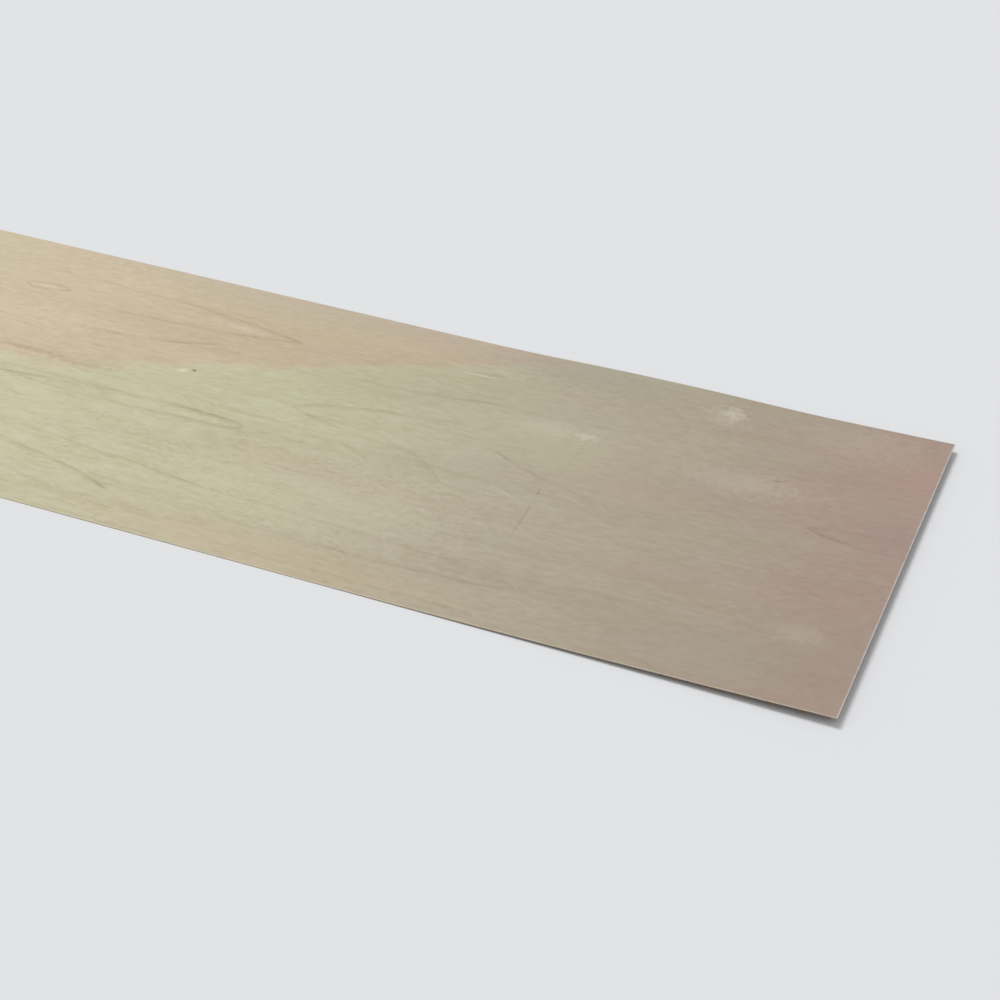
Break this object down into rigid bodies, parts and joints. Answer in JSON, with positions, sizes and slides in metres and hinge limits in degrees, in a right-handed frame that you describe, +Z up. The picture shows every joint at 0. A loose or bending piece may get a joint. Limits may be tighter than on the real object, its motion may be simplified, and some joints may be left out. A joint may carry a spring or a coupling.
{
  "type": "plywood sheet",
  "caption": "Thin birch plywood sheet with straight cut edges, lying flat with one free end sprung slightly up off the floor; raw stock for skins, panels and model making.",
  "frame": {"origin": "on the floor, under the middle of the sheet's length and width", "axes": "+X along the face grain towards the end that springs up, +Y across the sheet, +Z up out of the face"},
  "size_m": [1.2192, 0.3048, 0.0044],
  "materials": {
    "birch_plywood": "bare, sanded"
  },
  "bodies": {
    "root": {"plywood_sheet": "birch_plywood"}
  },
  "joints": []
}
